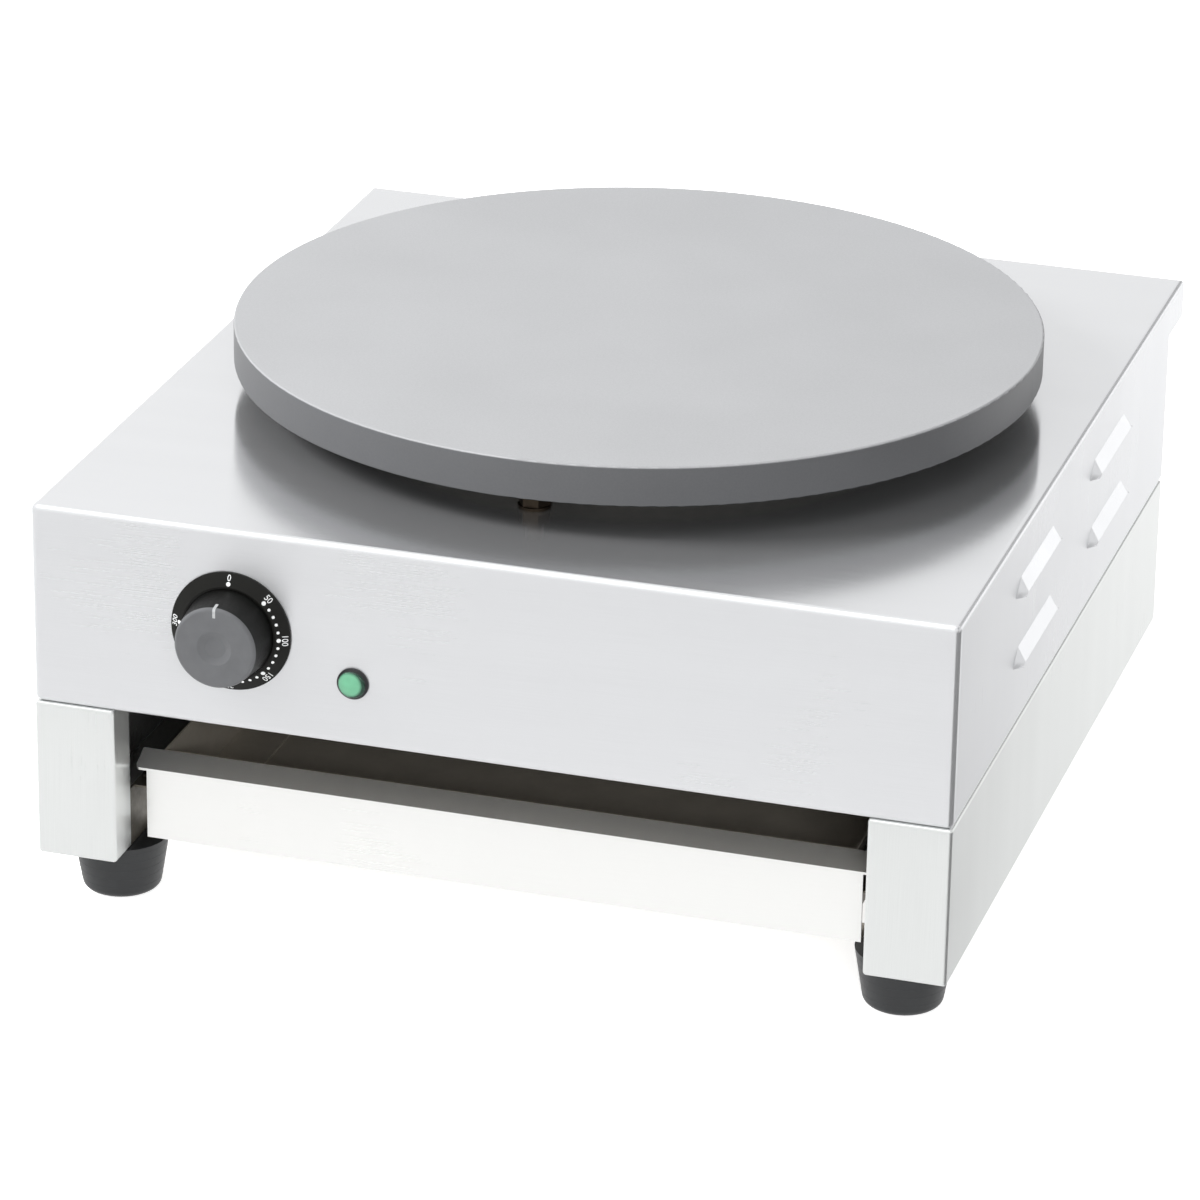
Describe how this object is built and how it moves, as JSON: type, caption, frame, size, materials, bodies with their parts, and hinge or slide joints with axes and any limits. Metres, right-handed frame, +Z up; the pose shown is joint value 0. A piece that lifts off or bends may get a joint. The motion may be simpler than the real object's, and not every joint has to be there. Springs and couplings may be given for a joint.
{
  "type": "electric crepe maker",
  "caption": "Countertop electric crepe griddle: round cast-iron plate over a folded stainless body with a thermostat knob, a pilot lamp and a shallow sliding drawer.",
  "frame": {"origin": "middle of the overall outline, on the surface that the feet stand on", "axes": "+X to the right as seen from the front, +Y to the rear, +Z up; the knob faces -Y"},
  "size_m": [0.458, 0.512, 0.245],
  "materials": {
    "brushed_stainless": "brushed with a fine straight grain",
    "plain_steel": "mill finish sheet",
    "zinc_plated": "zinc plated, slightly dull",
    "machined_iron": "fine turned surface, bare and matte",
    "element_sheath": "dull dark sheath of a tubular heating element",
    "mineral_wool": "pressed mineral wool",
    "copper": "drawn copper",
    "moulded_black": "heat-proof moulding",
    "dial_black": "satin black moulding with printed scale",
    "knob_grey": "dark grey satin moulding",
    "marking_white": "white inlay",
    "lamp_green": "translucent green lens",
    "black_rubber": "moulded rubber"
  },
  "bodies": {
    "body": {"base_rear_panel": "brushed_stainless", "belly_plate": "plain_steel", "body_nuts": "zinc_plated", "body_screws": "zinc_plated", "bonding_nut": "zinc_plated", "bonding_stud": "zinc_plated", "bulb_holder": "plain_steel", "cable_gland": "moulded_black", "capillary_tube": "copper", "cooking_plate": "machined_iron", "dial_bezel": "dial_black", "drawer_runner_left": "plain_steel", "drawer_runner_right": "plain_steel", "element_clamp": "plain_steel", "foot_front_left": "black_rubber", "foot_front_right": "black_rubber", "foot_nuts": "zinc_plated", "foot_rear_left": "black_rubber", "foot_rear_right": "black_rubber", "foot_screws": "zinc_plated", "gland_locknut": "moulded_black", "heater_insulation": "mineral_wool", "heater_pan": "plain_steel", "heating_element_inner": "element_sheath", "heating_element_outer": "element_sheath", "hood": "brushed_stainless", "lamp_body": "moulded_black", "lamp_lens": "lamp_green", "lamp_nut": "zinc_plated", "levelling_nuts": "zinc_plated", "pan_screws": "zinc_plated", "plate_studs": "zinc_plated", "rear_panel": "brushed_stainless", "rear_screws": "zinc_plated", "side_channel_left": "brushed_stainless", "side_channel_right": "brushed_stainless", "support_locknuts": "zinc_plated", "support_washers": "zinc_plated", "terminal_block": "moulded_black", "thermal_cutout": "plain_steel", "thermostat_body": "moulded_black", "thermostat_bulb": "copper", "thermostat_screws": "zinc_plated"},
    "knob": {"knob_grip": "knob_grey", "knob_pointer": "marking_white", "knob_spring": "zinc_plated", "thermostat_shaft": "zinc_plated"},
    "drawer": {"drawer_front": "brushed_stainless", "drawer_tray": "brushed_stainless", "drawer_side_left": "brushed_stainless", "drawer_side_right": "brushed_stainless", "drawer_rail_left": "plain_steel", "drawer_rail_right": "plain_steel"}
  },
  "joints": [
    {"name": "knob_turn", "type": "hinge", "parent": "body", "child": "knob", "pos_m": [-0.1245, -0.233, 0.1585], "axis": [0, 1, 0], "range_deg": [0, 280]},
    {"name": "drawer_slide", "type": "slide", "parent": "body", "child": "drawer", "axis": [0, -1, 0], "range_m": [0, 0.3]}
  ]
}
